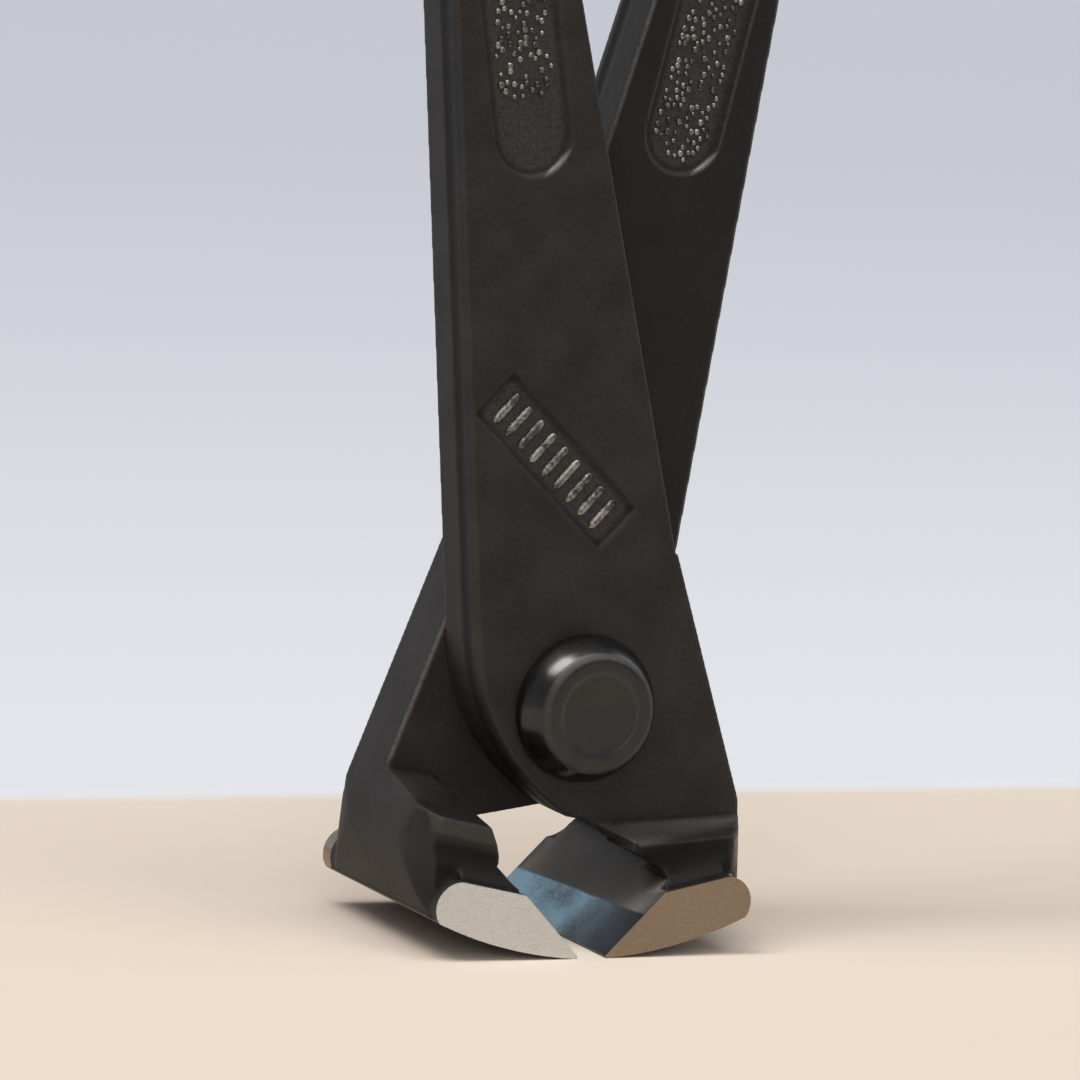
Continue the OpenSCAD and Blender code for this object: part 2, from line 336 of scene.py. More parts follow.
skin = {
    "voxel": 0.18,           # mm
    "easing": 2,             # rounds of smoothing all over
    "coatEasing": 5,         # more rounds where the forging isn't ground
    "browEasing": 12,        # more rounds at the brow in the throat
    "browBlunt": 1.3,        # mm taken off the brow's thin edge
    "browLean": 0.57,        # more of it past the plate, mm for each mm
    "browReach": 3.8,        # mm past the plate
    "browHeights": (-13.2, -10.0),  # z from and to, mm
    "browFoot": -14.5,       # z where its easing starts, mm
    "filler": ((0.9, -7.2, -11.1), (2.8, -6.5, -10.55)),  # closes the slit between brow and plate
    "groundReach": 0.25,     # how near a ground face a point is laid on it, mm
    "groundFacing": 0.3,     # least share of a face's direction in the normals there
    "groundTop": -14.0,      # z below which the bevel and the end face lie, mm
    "tipBlend": (0.6, 0.4),  # how far above the tip's top the easing ends, and over what depth, mm
    "tipInner": 10.6,        # least distance from the middle of what counts as the tip's end, mm
    "edgeReach": 4.0,        # mm of bevel behind the edge that aren't eased
    "edgeTop": -17.0,        # z below which that holds, mm
    "setIn": 0.003,          # mm that the round ground faces stay inside the solid
    "tipSetIn": 0.001,       # the same at the tip's ends
    "trueRounds": 3,
    "furtherOff": 99.0,      # mm added to a ground face's distance where it doesn't hold
    "meetReach": 0.02,       # how near two ground faces their shared edge lies, mm
    "hollowStart": (12.6, 13.8),  # depth down the jaw where its hollows begin, plate and lap side, mm
    "hollowFacing": (0.8, 0.5),   # x of the last normal in them, plate and lap side
    "blockTop": -9.0,        # z of the jaw's block, mm
    "blockDepth": 13.4,      # depth down the jaw where the block ends, mm
    "ledgeFacing": 0.6,      # least share of a ledge's own direction in its normals
    "flatFacing": 0.9,       # the same on flat ground and sunk faces
    "floorReach": 0.15,      # how near a panel's floor a point belongs to it, mm
    "wearSpread": 3,         # rounds that soften the marks
    "nookShadeSpread": 8,
    "weld": 0.0005,          # mm
    "levelWeight": 80,       # how far large faces lead the normals
    "triangles": 180000,
    "sharp": 55.0,           # degrees past which an edge stays sharp
    "parting": -4.9,         # y of the parting groove, mm
    "partingHalf": 0.5,
    "frontDraft": 0.3,       # mm that the sides fall back at the plate's face
    "rearDraft": 0.03,
    "draftReach": 1.0,       # how far inside the outline the draft fades out, mm
    "draftOutside": 0.4,     # how far outside it still holds, mm
    "heelReach": 4.0,        # x up to which the heel's arc is drafted, mm
    "wearGain": 30.0,
}


def ramp(inside, span):  # 0 to 1 over a span
    return np.clip(inside / span, 0, 1)


def outlineInward(flat):  # depth inside the outline and the way in, for points (x, z)
    depth = np.full(len(flat), 1e3)
    inward = np.zeros((len(flat), 2))

    def offer(d, direction, where):
        better = where & (np.abs(d) < np.abs(depth))
        depth[better] = d[better]
        inward[better] = np.broadcast_to(direction, flat.shape)[better]

    x, z = flat[:, 0], flat[:, 1]
    fromHeel = flat - heelC
    heelDist = np.linalg.norm(fromHeel, axis=1)
    heelWay = -fromHeel / np.maximum(heelDist, 1e-6)[:, None]
    offer(solid["heelRadius"] - heelDist, heelWay, (z < heelT[1]) & (x < skin["heelReach"]))
    for a, b, flip in ((heelT, neckOut, 1), (cheek, neckIn, -1)):
        along = (b - a) / np.linalg.norm(b - a)
        way = flip * np.array([along[1], -along[0]])
        offer((flat - a) @ way, way, (z > a[1]) & (z < b[1]))
    fromBow = flat - bowC
    bowDist = np.linalg.norm(fromBow, axis=1)
    bowWay = -fromBow / bowDist[:, None]
    onBow = (z >= neckOut[1]) & (z < bowC[1])
    outer = solid["bowRadius"] + solid["handleWidth"] / 2
    offer(outer - bowDist, bowWay, onBow)
    offer(bowDist - (outer - solid["handleWidth"]), -bowWay, onBow)
    return depth, inward


def draftSides(co):  # falls back from the parting line towards both faces of the plate
    y = co[:, 1]
    depth, inward = outlineInward(co[:, [0, 2]])
    front = ramp(skin["parting"] - skin["partingHalf"] - y, solid["plate"] + skin["parting"])
    rear = ramp(y - skin["parting"] - skin["partingHalf"], -skin["parting"])
    fall = front * skin["frontDraft"] + rear * skin["rearDraft"]
    fall *= np.clip(1 - depth / skin["draftReach"], 0, 1) * (depth > -skin["draftOutside"]) * (y < 0)
    co[:, [0, 2]] += inward * fall[:, None]


def edgeEnds(mesh):  # the two points of each edge
    pairs = np.zeros(len(mesh.edges) * 2, np.int32)
    mesh.edges.foreach_get("vertices", pairs)
    return pairs.reshape(-1, 2).T


def neighbourMean(mesh):  # a function that averages values over each point's neighbours
    a, b = edgeEnds(mesh)
    size = len(mesh.vertices)
    count = np.maximum(np.bincount(a, minlength=size) + np.bincount(b, minlength=size), 1)

    def around(values):
        if values.ndim == 2:
            return np.stack([around(column) for column in values.T], axis=1)
        return (np.bincount(a, values[b], size) + np.bincount(b, values[a], size)) / count

    return around


def easeBy(co, around, amount, rounds):  # smooths the points, each as far as its amount says
    for _ in range(rounds):
        co += (around(co) - co) * (0.5 * amount)[:, None]


def groundShare(co):  # 1 on the ground tip, 0 on the forging
    x, y, z = co.T
    above, span = skin["tipBlend"]
    tip = ramp(jawDepth(x, z) - solid["tipTop"] + above, span) * (np.abs(y) > skin["tipInner"])
    along = (x - solid["edgeHalf"]) * bevelCos + (z + solid["edgeDrop"]) * bevelSin
    return np.maximum(tip, (along < skin["edgeReach"]) * (z < skin["edgeTop"]))


def bluntBrow(co):  # takes the thin edge off the brow under the plate's ledge
    x, y, z = co.T
    least = skin["browBlunt"] + skin["browLean"] * np.clip(-y - solid["plate"], 0, skin["browReach"])
    low, high = skin["browHeights"]
    thin = (y < 0.05 - solid["plate"]) & (z > low) & (z < high) & (x < least)
    co[thin, 0] = least[thin]


def browShare(co):  # 1 on the brow
    x, y, z = co.T
    near = ramp(8.0 - x, 3.0) * ramp(0.4 - solid["plate"] - y, 0.5)
    return near * ramp(z - skin["browFoot"], 0.8) * (z < skin["browHeights"][1] + 0.5)


def groundGaps(co):  # distance inside the bevel, end face, tip's ends, nose and tip's top, and the ways out
    x, y, z = co.T
    fromX, fromZ = x - solid["edgeHalf"], z + solid["edgeDrop"] - solid["edgeLand"]
    bevelWay = np.broadcast_to((-bevelSin, 0, bevelCos), co.shape)
    endWay = np.stack([x, 0 * y, z - (solid["endRadius"] - solid["edgeDrop"])], axis=1)
    far = np.linalg.norm(endWay, axis=1)
    tipWay = np.stack([0 * x, np.sign(y), 0 * z], axis=1)
    topWay = np.broadcast_to((-tiltSin, 0, tiltCos), co.shape)
    noseX, noseZ = x - solid["nose"][0], z - solid["nose"][1]
    noseFar = np.hypot(noseX, noseZ) + 1e-6
    noseWay = np.stack([noseX, 0 * y, noseZ], axis=1) / noseFar[:, None]
    bevelGap = fromX * bevelSin - fromZ * bevelCos
    endGap = solid["endRadius"] - skin["setIn"] - far
    noseGap = solid["noseRadius"] - skin["setIn"] - noseFar
    topGap = jawDepth(x, z) - solid["tipTop"]
    tipGap = solid["jawHalf"] - skin["tipSetIn"] - np.abs(y)
    wide = np.abs(y) > solid["blockHalf"] + 0.1
    past = noseX * tiltCos + noseZ * tiltSin > 0       # beyond the nose's middle
    onNose = wide & past & (noseGap < endGap)          # blunt corners: each point has one face only
    onTop = wide & ~past & (topGap < bevelGap)
    low = z < skin["groundTop"]

    def only(where, gap):  # further off elsewhere
        return gap + np.where(where, 0, skin["furtherOff"])

    return (
        (only(low & ~onTop, bevelGap), bevelWay),
        (only(low & ~onNose, endGap), endWay / far[:, None]),
        (only(topGap > -0.2, tipGap), tipWay),
        (only(onNose, noseGap), noseWay),
        (only(onTop, topGap), topWay))


def trueGround(co, normals):  # lays the ground faces flat again, so that they meet in sharp edges
    for _ in range(skin["trueRounds"]):
        for k in range(5):  # one face after the other
            gap, way = groundGaps(co)[k]
            on = (np.abs(gap) < skin["groundReach"]) & ((normals * way).sum(axis=1) > skin["groundFacing"])
            co[on] += (way * gap[:, None])[on]


def sharpenGround(mesh):  # marks the edges where two ground faces meet
    co = vertexArray(mesh)
    faces = np.stack([np.abs(gap) < skin["meetReach"] for gap, way in groundGaps(co)], axis=1)
    a, b = edgeEnds(mesh)
    mesh.set_sharp_from_angle(angle=math.radians(skin["sharp"]))
    marks = mesh.attributes["sharp_edge"].data
    sharp = np.zeros(len(marks), bool)
    marks.foreach_get("value", sharp)
    sharp |= (faces[a] & faces[b]).sum(axis=1) > 1
    marks.foreach_set("value", sharp)


def spread(values, around, rounds):
    for _ in range(rounds):
        values = 0.5 * values + 0.5 * around(values)
    return values


def edgeMarks(co, normals, around):  # how far each point stands out from its neighbours, or lies in
    out = ((co - around(co)) * normals).sum(axis=1) * skin["wearGain"]
    # the share that lies in drives painted shade in the corners
    return {
        "wear": spread(np.clip(out, 0, 1), around, skin["wearSpread"]),
        "nookShade": spread(np.clip(-out, 0, 1), around, skin["nookShadeSpread"])}


def jawMarks(co, normals, around):  # painted shade in the jaws' hollows and on the lap's ledge, painted light on the other ledges and the bevel's flank, panels' floors
    x, y, z = co.T
    slope = jawDepth(x, z)
    across, through, up = normals.T
    # painted shade in the jaws' hollows
    start = np.where(y < 0, *skin["hollowStart"])
    inward = ramp(np.where(y < 0, *skin["hollowFacing"]) - across, 0.25)
    inward *= (across > -0.45) * (np.abs(y) > 9.0)
    hollow = inward * ramp(slope - start, 0.5) * (slope < solid["tipTop"] + 0.05)
    hollow *= np.abs(y) < solid["jawHalf"] - 0.08
    block = (z < skin["blockTop"]) & (slope < skin["blockDepth"])
    upward = (up > skin["ledgeFacing"]) * block
    # painted shade on the lap side's up-facing ledge
    hollow = np.maximum(hollow, 1.0 * upward * (y > 0.4))
    # painted light on the plate side's ledge and the lap side's block face
    ledge = upward * (y < -solid["plate"] - 0.3) + 0.7 * block * (through > skin["ledgeFacing"]) * (y > 9.0)
    gap, way = groundGaps(co)[0]
    # painted light on the bevel above its band
    flankLight = 1.0 * (np.abs(gap) < skin["groundReach"]) * ((normals * way).sum(axis=1) > skin["flatFacing"])
    front = np.abs(y + solid["plate"] - solid["panelDepth"]) < skin["floorReach"]
    rear = np.abs(y + solid["lapHalf"] + solid["panelDepth"]) < skin["floorReach"]
    front, rear = front & (through < -skin["flatFacing"]), rear & (through > skin["flatFacing"])
    marks = {"hollow": hollow, "ledge": ledge, "flankLight": flankLight, "sunk": 1.0 * (front | rear)}
    return {name: spread(values, around, skin["wearSpread"]) for name, values in marks.items()}


def closedLever():  # the solid's mesh, closed, in mm, with the filler in it
    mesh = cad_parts["front_lever"].data.copy()
    mesh.transform(leverPlace("front").inverted())
    bm = bmesh.new()
    bm.from_mesh(mesh)
    bmesh.ops.remove_doubles(bm, verts=bm.verts, dist=skin["weld"])
    low, high = (Vector(corner) for corner in skin["filler"])
    size = Matrix.Diagonal((high - low).to_4d())
    bmesh.ops.create_cube(bm, size=1, matrix=Matrix.Translation((low + high) / 2) @ size)
    bm.to_mesh(mesh)
    bm.free()
    mesh.materials.clear()
    return mesh


def finishPoints(dense):  # eases the dense skin, marks it, trues the ground faces and drafts the sides
    co, around = vertexArray(dense), neighbourMean(dense)
    bluntBrow(co)
    easeBy(co, around, 1 - groundShare(co), skin["coatEasing"])
    easeBy(co, around, browShare(co), skin["browEasing"])
    setPoints(dense, co)
    normals = vertexArray(dense, "normal")
    marks = edgeMarks(co, normals, around) | jawMarks(co, normals, around)
    for name, values in marks.items():
        dense.attributes.new(name, "FLOAT", "POINT").data.foreach_set("value", values.astype(np.float32))
    trueGround(co, normals)
    draftSides(co)
    setPoints(dense, co)


def makeLeverSkin():
    work = link(bpy.data.objects.new("leverWork", closedLever()))
    remesh = work.modifiers.new("remesh", "REMESH")
    remesh.mode = "VOXEL"
    remesh.voxel_size = skin["voxel"]
    ease = work.modifiers.new("ease", "SMOOTH")
    ease.factor = 0.5
    ease.iterations = skin["easing"]
    dense = evaluated(work)
    finishPoints(dense)
    work.modifiers.clear()
    work.data = dense
    thin = work.modifiers.new("thin", "DECIMATE")
    thin.ratio = min(1.0, skin["triangles"] / (2 * len(dense.polygons)))
    kept = evaluated(work)
    kept.shade_smooth()
    sharpenGround(kept)
    work.modifiers.clear()
    work.data = kept
    level = work.modifiers.new("level", "WEIGHTED_NORMAL")
    level.weight = skin["levelWeight"]
    level.keep_sharp = True
    made = evaluated(work)
    made.calc_loop_triangles()
    print("lever skin:", len(dense.polygons), "faces eased,", len(made.loop_triangles), "triangles kept")
    bpy.data.objects.remove(work)
    return made


# Blackened forging with ground tips

steel = {
    "dark": (0.019, 0.0175, 0.0165, 1),
    "light": (0.0325, 0.0297, 0.0278, 1),
    "nookShade": (0.0045, 0.0038, 0.0033, 1),     # painted shade in corners, hollows and the parting groove
    # rubbed edges; also the colour of the painted highlights on the lap's edges and panels' rims
    "worn": (0.16, 0.15, 0.135, 1),
    "ground": (0.89, 0.90, 0.87, 1),
    "groundDark": (0.72, 0.725, 0.695, 1),
    "warmReflection": (0.37, 0.295, 0.222, 1),         # painted brown reflection of the floor on the ground end on the plate's side
    "warmReflectionDark": (0.265, 0.21, 0.158, 1),
    "bevel": (0.25, 0.405, 0.475, 1),        # painted reflection of the pale sky on the ground bevel
    "bevelDarkReflection": (0.054, 0.063, 0.066, 1),
    "flankLight": (0.175, 0.159, 0.138, 1),       # painted light on the bevel above its band
    "sunk": (0.055, 0.052, 0.048, 1),        # cast grain on the panels' floors
    # painted shade with a warm floor reflection on the ground end face
    "endFaceShade": (0.16, 0.135, 0.11, 1),
    "bare": (0.17, 0.175, 0.177, 1),         # rubbed outer corner over the tip on the plate's side, partly a painted glint
    "ledge": (0.062, 0.055, 0.047, 1),       # painted light on the ledges and the lap side's block face
    # painted shade on the lap face, where the other lever shades it
    "lapShade": (0.009, 0.008, 0.0072, 1),
    "cloud": (0.16, 3.0, 0.5),               # noises: scale for each mm, detail, roughness
    "grain": (2.6, 4.0, 0.65),
    "speck": (7.0, 2.0, 0.6),
    "lines": (1.1, 9.0, 16.0),               # grinding lines for each mm
    "roughness": 0.5,
    "groundRoughness": 0.27,
    "specular": 0.22,
    "faceReach": (0.12, 0.06),  # how near a ground face the coat ends, and is all gone, mm
    "bevelBand": 4.65,       # mm of bright bevel behind the cutting edge
    "bandLean": 0.044,       # how much wider it is at the plate's end, mm for each mm
    "lensLean": 4.0,         # degrees that the lap side's ground end leans back
    "blueFade": 9.0,         # mm over which that painted sky reflection fades on the plate's side
    "blueLoss": 0.92,        # how much of it
    "grainHeight": 0.024,    # relief of the coat, mm
    "cloudHeight": 0.05,
    "speckHeight": 0.01,
    "sunkHeight": 0.03,      # more specks on the panels' floors
    "lineHeight": 0.003,
    "grooveDepth": 0.14,     # parting groove, mm
    "edgeWear": 0.14,        # on all edges
    "lapWear": 1.1,          # more of it on the lap's edges, partly a painted edge highlight
    "rimGlintWay": (0.68, 0.73),  # where the painted highlight lies on the panels' rims, facing them: right, down
}


def groundMasks(x, y, z, cloud, grain):  # the tip's ends, its nose, the end face and the bevel's band
    slope = jawDepth(x, z)
    near, gone = steel["faceReach"]
    fromX, fromZ = x - solid["edgeHalf"], z + (solid["edgeDrop"] - solid["edgeLand"])
    above = fromZ * bevelCos - fromX * bevelSin
    along = fromX * bevelCos + fromZ * bevelSin + (cloud - 0.5) * 0.8
    onBevel = above.rise(-near, -gone)
    onTip = slope.rise(solid["tipTop"] - 0.02, solid["tipTop"] + 0.1)
    lens = abs(y).rise(solid["jawHalf"] - 0.1, solid["jawHalf"] - 0.05) * onTip
    nose = (-y).rise(solid["blockHalf"] - 0.1, solid["blockHalf"]) * x.rise(9.0, 11.0) * (1 - onBevel)
    nose = nose * slope.rise(solid["tipTop"] + 0.2, solid["tipTop"] + 0.4)
    endZ = z - (solid["endRadius"] - solid["edgeDrop"])
    reach = (x * x + endZ * endZ).root()
    end = reach.rise(solid["endRadius"] - near, solid["endRadius"] - gone) * (-z).rise(14.0, 14.5)
    band = 1 - (along + y * steel["bandLean"]).rise(steel["bevelBand"] - 0.15, steel["bevelBand"] + 0.15)
    band = band * onBevel * (-z).rise(10.0, 10.5)
    # rubbed bare corner, partly a painted glint
    bare = x.rise(13.0, 14.4) * slope.rise(13.8, 14.6) * (-y).rise(8.0, 9.4) * (1 - onTip)
    bare = bare * (grain * 0.7 + cloud * 0.3).rise(0.3, 0.62) * 0.2
    ground = lens.most(nose).most(end).most(band).most(bare)
    return ground, lens, end, band, bare, onBevel


def edgeWear(g, x, y, z, grain):  # rubbed edges, most on the machined lap's edges, which are partly a painted edge highlight, and a painted highlight on the panels' lower rims
    lap = (1 - abs(y + solid["lapHalf"]).rise(0.35, 0.6)) * z.rise(-9.0, -7.0)
    share = steel["edgeWear"] + lap * steel["lapWear"]
    worn = g.mark("wear").rise(0.1, 0.65) * (grain + 0.18).rise(0.3, 0.75) * share
    footX, footZ = neckMid - solid["panelBack"] * np.array([-bowSin, bowCos])
    fromFoot, upFoot = x - footX, z - footZ
    half = solid["panelWidth"] / 2
    # painted highlight on the lower side of each panel's rounded rim
    rim = 1 - abs((fromFoot * fromFoot + upFoot * upFoot).root() - half).rise(0.1, 0.42)
    aside, down = steel["rimGlintWay"]
    lit = (fromFoot * ((-y).rise(3.0, 4.0) * 2.0 - 1.0) * aside - upFoot * down) / half
    return worn.most(rim * lit.rise(0.9, 0.99) * (grain + 0.2).rise(0.35, 0.7))


def leverFinish(side):
    material, g = newFinish("phosphateSteel_" + side)
    here = onLever(g, side)
    x, y, z = g.parts(here)
    cloud, grain, speck = (g.noise(here, *steel[name]) for name in ("cloud", "grain", "speck"))
    ground, lens, end, band, bare, onBevel = groundMasks(x, y, z, cloud, grain)
    # rubbed edges, with painted highlights on the lap's edges and the panels' lower rims
    worn = edgeWear(g, x, y, z, grain)

    # painted shade in corners, in the jaws' hollows, on the lap's ledge and in the parting groove
    nookShade = g.mark("nookShade").rise(0.03, 0.3)
    hollow, ledge, flankLight, sunk = (g.mark(name) for name in ("hollow", "ledge", "flankLight", "sunk"))
    seam = 1 - abs(y - skin["parting"]).rise(0.25, 1.2)
    seam = seam * (1 - x.rise(5.0, 8.0) * (1 - z.rise(15.0, 20.0))) * z.rise(-11.0, -9.0)
    paintedShade = (nookShade * (1 - ledge) * 0.8).most(hollow * 0.85).most(seam * 0.75) * (1 - ground)

    coat = g.mix((cloud * 0.55 + grain * 0.45).rise(0.36, 0.66), steel["dark"], steel["light"])
    # painted shade on the lap face of the handles
    coat = g.mix(y.rise(-0.35, -0.2) * z.rise(6.0, 18.0) * 0.6, coat, steel["lapShade"])
    coat = g.mix(ledge * (grain + 0.2).rise(0.3, 0.7), coat, steel["ledge"])
    coat = g.mix(flankLight * (grain + 0.3).rise(0.3, 0.7), coat, steel["flankLight"])
    coat = g.mix(sunk * (grain * 0.5 + speck * 0.5).rise(0.35, 0.65), coat, steel["sunk"])
    coat = g.mix(paintedShade, coat, steel["nookShade"])
    coat = g.mix(worn, coat, steel["worn"])
    lines = g.noise(g.stretch(here, steel["lines"]), 1.0, 4.0, 0.65)
    mottle = (lines * 0.55 + grain * 0.3 + cloud * 0.15).rise(0.3, 0.72)
    bright = g.mix(mottle, steel["groundDark"], steel["ground"])
    warmReflection = g.mix(mottle, steel["warmReflectionDark"], steel["warmReflection"])
    # painted reflection of the sky on the bevel, fading on the plate's side
    reflectedSky = 1 - (-y).rise(0.0, steel["blueFade"]) * steel["blueLoss"]
    reflectedSky = (cloud * 0.7 + grain * 0.3).rise(0.3, 0.55) * reflectedSky
    bevelReflection = g.mix(reflectedSky, steel["bevelDarkReflection"], steel["bevel"])
    # painted brown reflection of the floor on the plate side's ground
    bright = g.mix((-y).rise(10.0, 10.2), bright, warmReflection)
    bright = g.mix(bare, bright, steel["bare"])
    # painted shade on the ground end face
    bright = g.mix(end * (1 - lens), bright, steel["endFaceShade"])
    bright = g.mix(onBevel * (1 - lens), bright, bevelReflection)
    colour = g.mix(ground, coat, bright)

    coatRough = steel["roughness"] + (grain - 0.5) * 0.22 + (speck - 0.5) * 0.12 + paintedShade * 0.2 - worn * 0.12
    groundRough = steel["groundRoughness"] + (lines - 0.5) * 0.14
    rough = coatRough * (1 - ground) + groundRough * ground
    metal = (worn * 0.7).most(ground)

    cast = sunk * steel["sunkHeight"] + steel["speckHeight"]
    coated = grain * steel["grainHeight"] + speck * cast + cloud * steel["cloudHeight"]
    coated = coated - seam * steel["grooveDepth"]
    lean = math.tan(math.radians(steel["lensLean"]))
    lapEnd = lens * y.rise(0.0, 1.0)
    height = coated * (1 - ground) + (ground - band) * lines * steel["lineHeight"] - lapEnd * z * lean
    shade(g, colour, rough, height, metal, steel["specular"])
    return material


leverMesh = makeLeverSkin()
for side in sideBody:
    mesh = leverMesh.copy()
    mesh.materials.clear()
    mesh.materials.append(leverFinish(side))
    putPiece(side + "_lever_forging", mesh, side, side + "_lever")
print("levers dressed")


# Rivet: turned head with eased corners

rivet = {
    "segments": 144,
    "sharp": 50.0,           # degrees past which an edge stays sharp
    "profile": [             # radius, distance from the middle, corner radius, mm
        (0.0, 10.35, 0.0),
        (3.62, 10.35, 0.3),
        (3.9, 10.5, 0.25),
        (5.02, 10.5, 0.3),
        (5.52, 10.0, 0.35),
        (6.17, 9.05, 0.7),
        (6.75, 7.75, 0.6),
        (6.75, 7.0, 0.0),
        (4.0, 7.0, 0.0),
        (4.0, 0.0, 0.0),
    ],
    "turning": 9.0,          # turning marks for each mm
    "cornerAt": 5.25,        # radius of the rubbed corner, mm
    "dishAt": 3.75,          # radius of the dished face, mm
    "roughness": 0.34,
    "specular": 0.65,
    "colour": (0.003, 0.0027, 0.0024, 1),
    "light": (0.008, 0.0073, 0.0063, 1),
    "worn": (0.1, 0.092, 0.083, 1),
}


def easedProfile(corners, steps=6, share=0.45):  # each corner rounded, on at most a share of its sides
    points = []
    for i, (r, h, ease) in enumerate(corners):
        here = np.array((r, h))
        if ease == 0:
            points.append(here)
            continue
        before, after = np.array(corners[i - 1][:2]), np.array(corners[i + 1][:2])
        into = (before - here) / np.linalg.norm(before - here)
        away = (after - here) / np.linalg.norm(after - here)
        start = here + into * min(ease, share * np.linalg.norm(before - here))
        stop = here + away * min(ease, share * np.linalg.norm(after - here))
        for k in range(steps + 1):
            t = k / steps
            points.append((1 - t) ** 2 * start + 2 * t * (1 - t) * here + t * t * stop)
    return points


def makeRivet():
    half = easedProfile(rivet["profile"])
    whole = half + [np.array((p[0], -p[1])) for p in reversed(half[:-1])]
    count = rivet["segments"]
    vertices, faces, rings = [], [], []
    for r, h in whole:
        if r < 1e-6:
            rings.append([len(vertices)])
            vertices.append((0, h, 0))
            continue
        rings.append(list(range(len(vertices), len(vertices) + count)))
        for k in range(count):
            c, s = deg(360 * k / count)
            vertices.append((r * c, h, r * s))
    for a, b in zip(rings, rings[1:]):
        for k in range(count):
            n = (k + 1) % count
            corner = [a[k % len(a)], a[n % len(a)], b[n % len(b)], b[k % len(b)]]
            faces.append(list(dict.fromkeys(corner)))
    mesh = bpy.data.meshes.new("rivet")
    mesh.from_pydata(vertices, [], faces)
    bm = bmesh.new()
    bm.from_mesh(mesh)
    bmesh.ops.recalc_face_normals(bm, faces=bm.faces)
    bm.to_mesh(mesh)
    bm.free()
    mesh.shade_smooth()
    mesh.set_sharp_from_angle(angle=math.radians(rivet["sharp"]))
    return mesh


def rivetFinish():
    material, g = newFinish("blackRivet")
    here = onLever(g, "front")
    x, y, z = g.parts(here)
    radius = (x * x + z * z).root()
    grain = g.noise(here, 2.2, 4.0, 0.6)
    cloud = g.noise(here, 0.3, 3.0)
    ring = g.point(radius * rivet["turning"], abs(y) * rivet["turning"])
    turned = g.noise(ring, 1.0, 2.0)
    fromCorner, fromDish = abs(radius - rivet["cornerAt"]), abs(radius - rivet["dishAt"])
    rim = (1 - fromCorner.rise(0.05, 0.4)).most(0.4 - fromDish.rise(0.1, 0.35) * 0.4)
    worn = rim * (cloud * 0.6 + grain * 0.6).rise(0.35, 0.8)
    colour = g.mix(cloud.rise(0.3, 0.7), rivet["colour"], rivet["light"])
    colour = g.mix(worn * 0.35, colour, rivet["worn"])
    rough = rivet["roughness"] - radius.rise(5.1, 5.6) * 0.12 + (grain - 0.5) * 0.1 + (turned - 0.5) * 0.06
    rough = rough + (1 - fromCorner.rise(0.1, 0.4)) * 0.28
    height = turned * 0.005 + grain * 0.004 + cloud * 0.03
    shade(g, colour, rough, height, specular=rivet["specular"])
    return material


rivetMesh = makeRivet()
rivetMesh.materials.append(rivetFinish())
putPiece("rivet_head", rivetMesh, "front", "pivot_rivet")
print("rivet turned")


# Dipped sleeves: a rounded section swept along the handle's bow

sleeve = {
    "corner": 3.2,           # mm
    "body": 0.968,           # share of the full section behind the lip
    "lip": 2.6,              # length of the thick lip at the mouth, mm
    "mouth": 0.8,            # rounding of the mouth, mm
    "mouthFall": 0.07,       # share of the section that it falls
    "inner": 0.55,           # share of the section in the first ring, which lies in the handle
    "rings": 80,
    "dome": 7.1,             # length of the rounded end, mm
    "domePower": 2.5,        # 2 is an ellipse, more is squarer
    "domeDrop": 0.06,        # mm that the end stays below the solid's
    "roughness": 0.42,
    "specular": 0.45,
    "colour": (0.011, 0.011, 0.012, 1),
    "light": (0.02, 0.02, 0.0215, 1),
}


def handlePoint(height):  # middle of the handle at a height above the rivet
    if height >= bowC[1]:
        return gripX, height
    return bowC[0] - math.sqrt(solid["bowRadius"] ** 2 - (bowC[1] - height) ** 2), height


def makeSleeveTree():
    tree, g, start = newTree("dippedSleeve", [
        ("Width", "Float"), ("Thickness", "Float"), ("Corner", "Float"), ("Body", "Float"),
        ("Lip", "Float"), ("Mouth", "Float"), ("Dome", "Float"), ("Power", "Float")])
    length = g.node("GeometryNodeSplineParameter", {}, {}, out="Length")
    total = g.node("GeometryNodeCurveLength", {}, {"Curve": start})
    left = (total - length) / start.out("Dome")
    power = start.out("Power")
    dome = (1 - (1 - left.least(1.0)) ** power).most(0.0) ** (1 / power)
    lip = 1 - length.rise(start.out("Lip"), start.out("Lip") * 1.6)
    body = start.out("Body") + lip * (1 - start.out("Body"))
    mouth = 1 - (length / start.out("Mouth")).least(1.0)
    body = body - mouth * mouth * sleeve["mouthFall"]
    outside = length.rise(0.005, 0.015)
    radius = (sleeve["inner"] + outside * (body - sleeve["inner"])) * dome.most(0.03)
    path = g.node("GeometryNodeSetCurveNormal", {"mode": "FREE"}, {"Curve": start, "Normal": (0, 1, 0)})
    section = g.node("GeometryNodeCurvePrimitiveQuadrilateral", {}, {
        "Width": start.out("Thickness"), "Height": start.out("Width")})
    section = g.node("GeometryNodeFilletCurve", {"mode": "POLY"}, {
        "Curve": section, "Radius": start.out("Corner"), "Count": 9})
    swept = g.node("GeometryNodeCurveToMesh", {}, {
        "Curve": path, "Profile Curve": section, "Scale": radius, "Fill Caps": True})
    swept = g.node("GeometryNodeSetShadeSmooth", {}, {"Geometry": swept})
    endTree(g, start, swept)
    return tree


def sleeveFinish():
    material, g = newFinish("dippedVinyl")
    here = inMm(g)
    cloud = g.noise(here, 0.09, 3.0)
    dimple = g.noise(here, 1.1, 3.0, 0.55)
    fine = g.noise(here, 5.0, 2.0)
    colour = g.mix((cloud * 0.7 + dimple * 0.3).rise(0.35, 0.68), sleeve["colour"], sleeve["light"])
    scuff = g.noise(g.stretch(here, (1.6, 1.6, 0.25)), 1.0, 4.0, 0.7).rise(0.6, 0.78)
    rough = sleeve["roughness"] + (dimple - 0.5) * 0.12 + scuff * 0.14
    height = cloud * 0.12 + dimple * 0.03 + fine * 0.006
    shade(g, colour, rough, height, specular=sleeve["specular"])
    return material


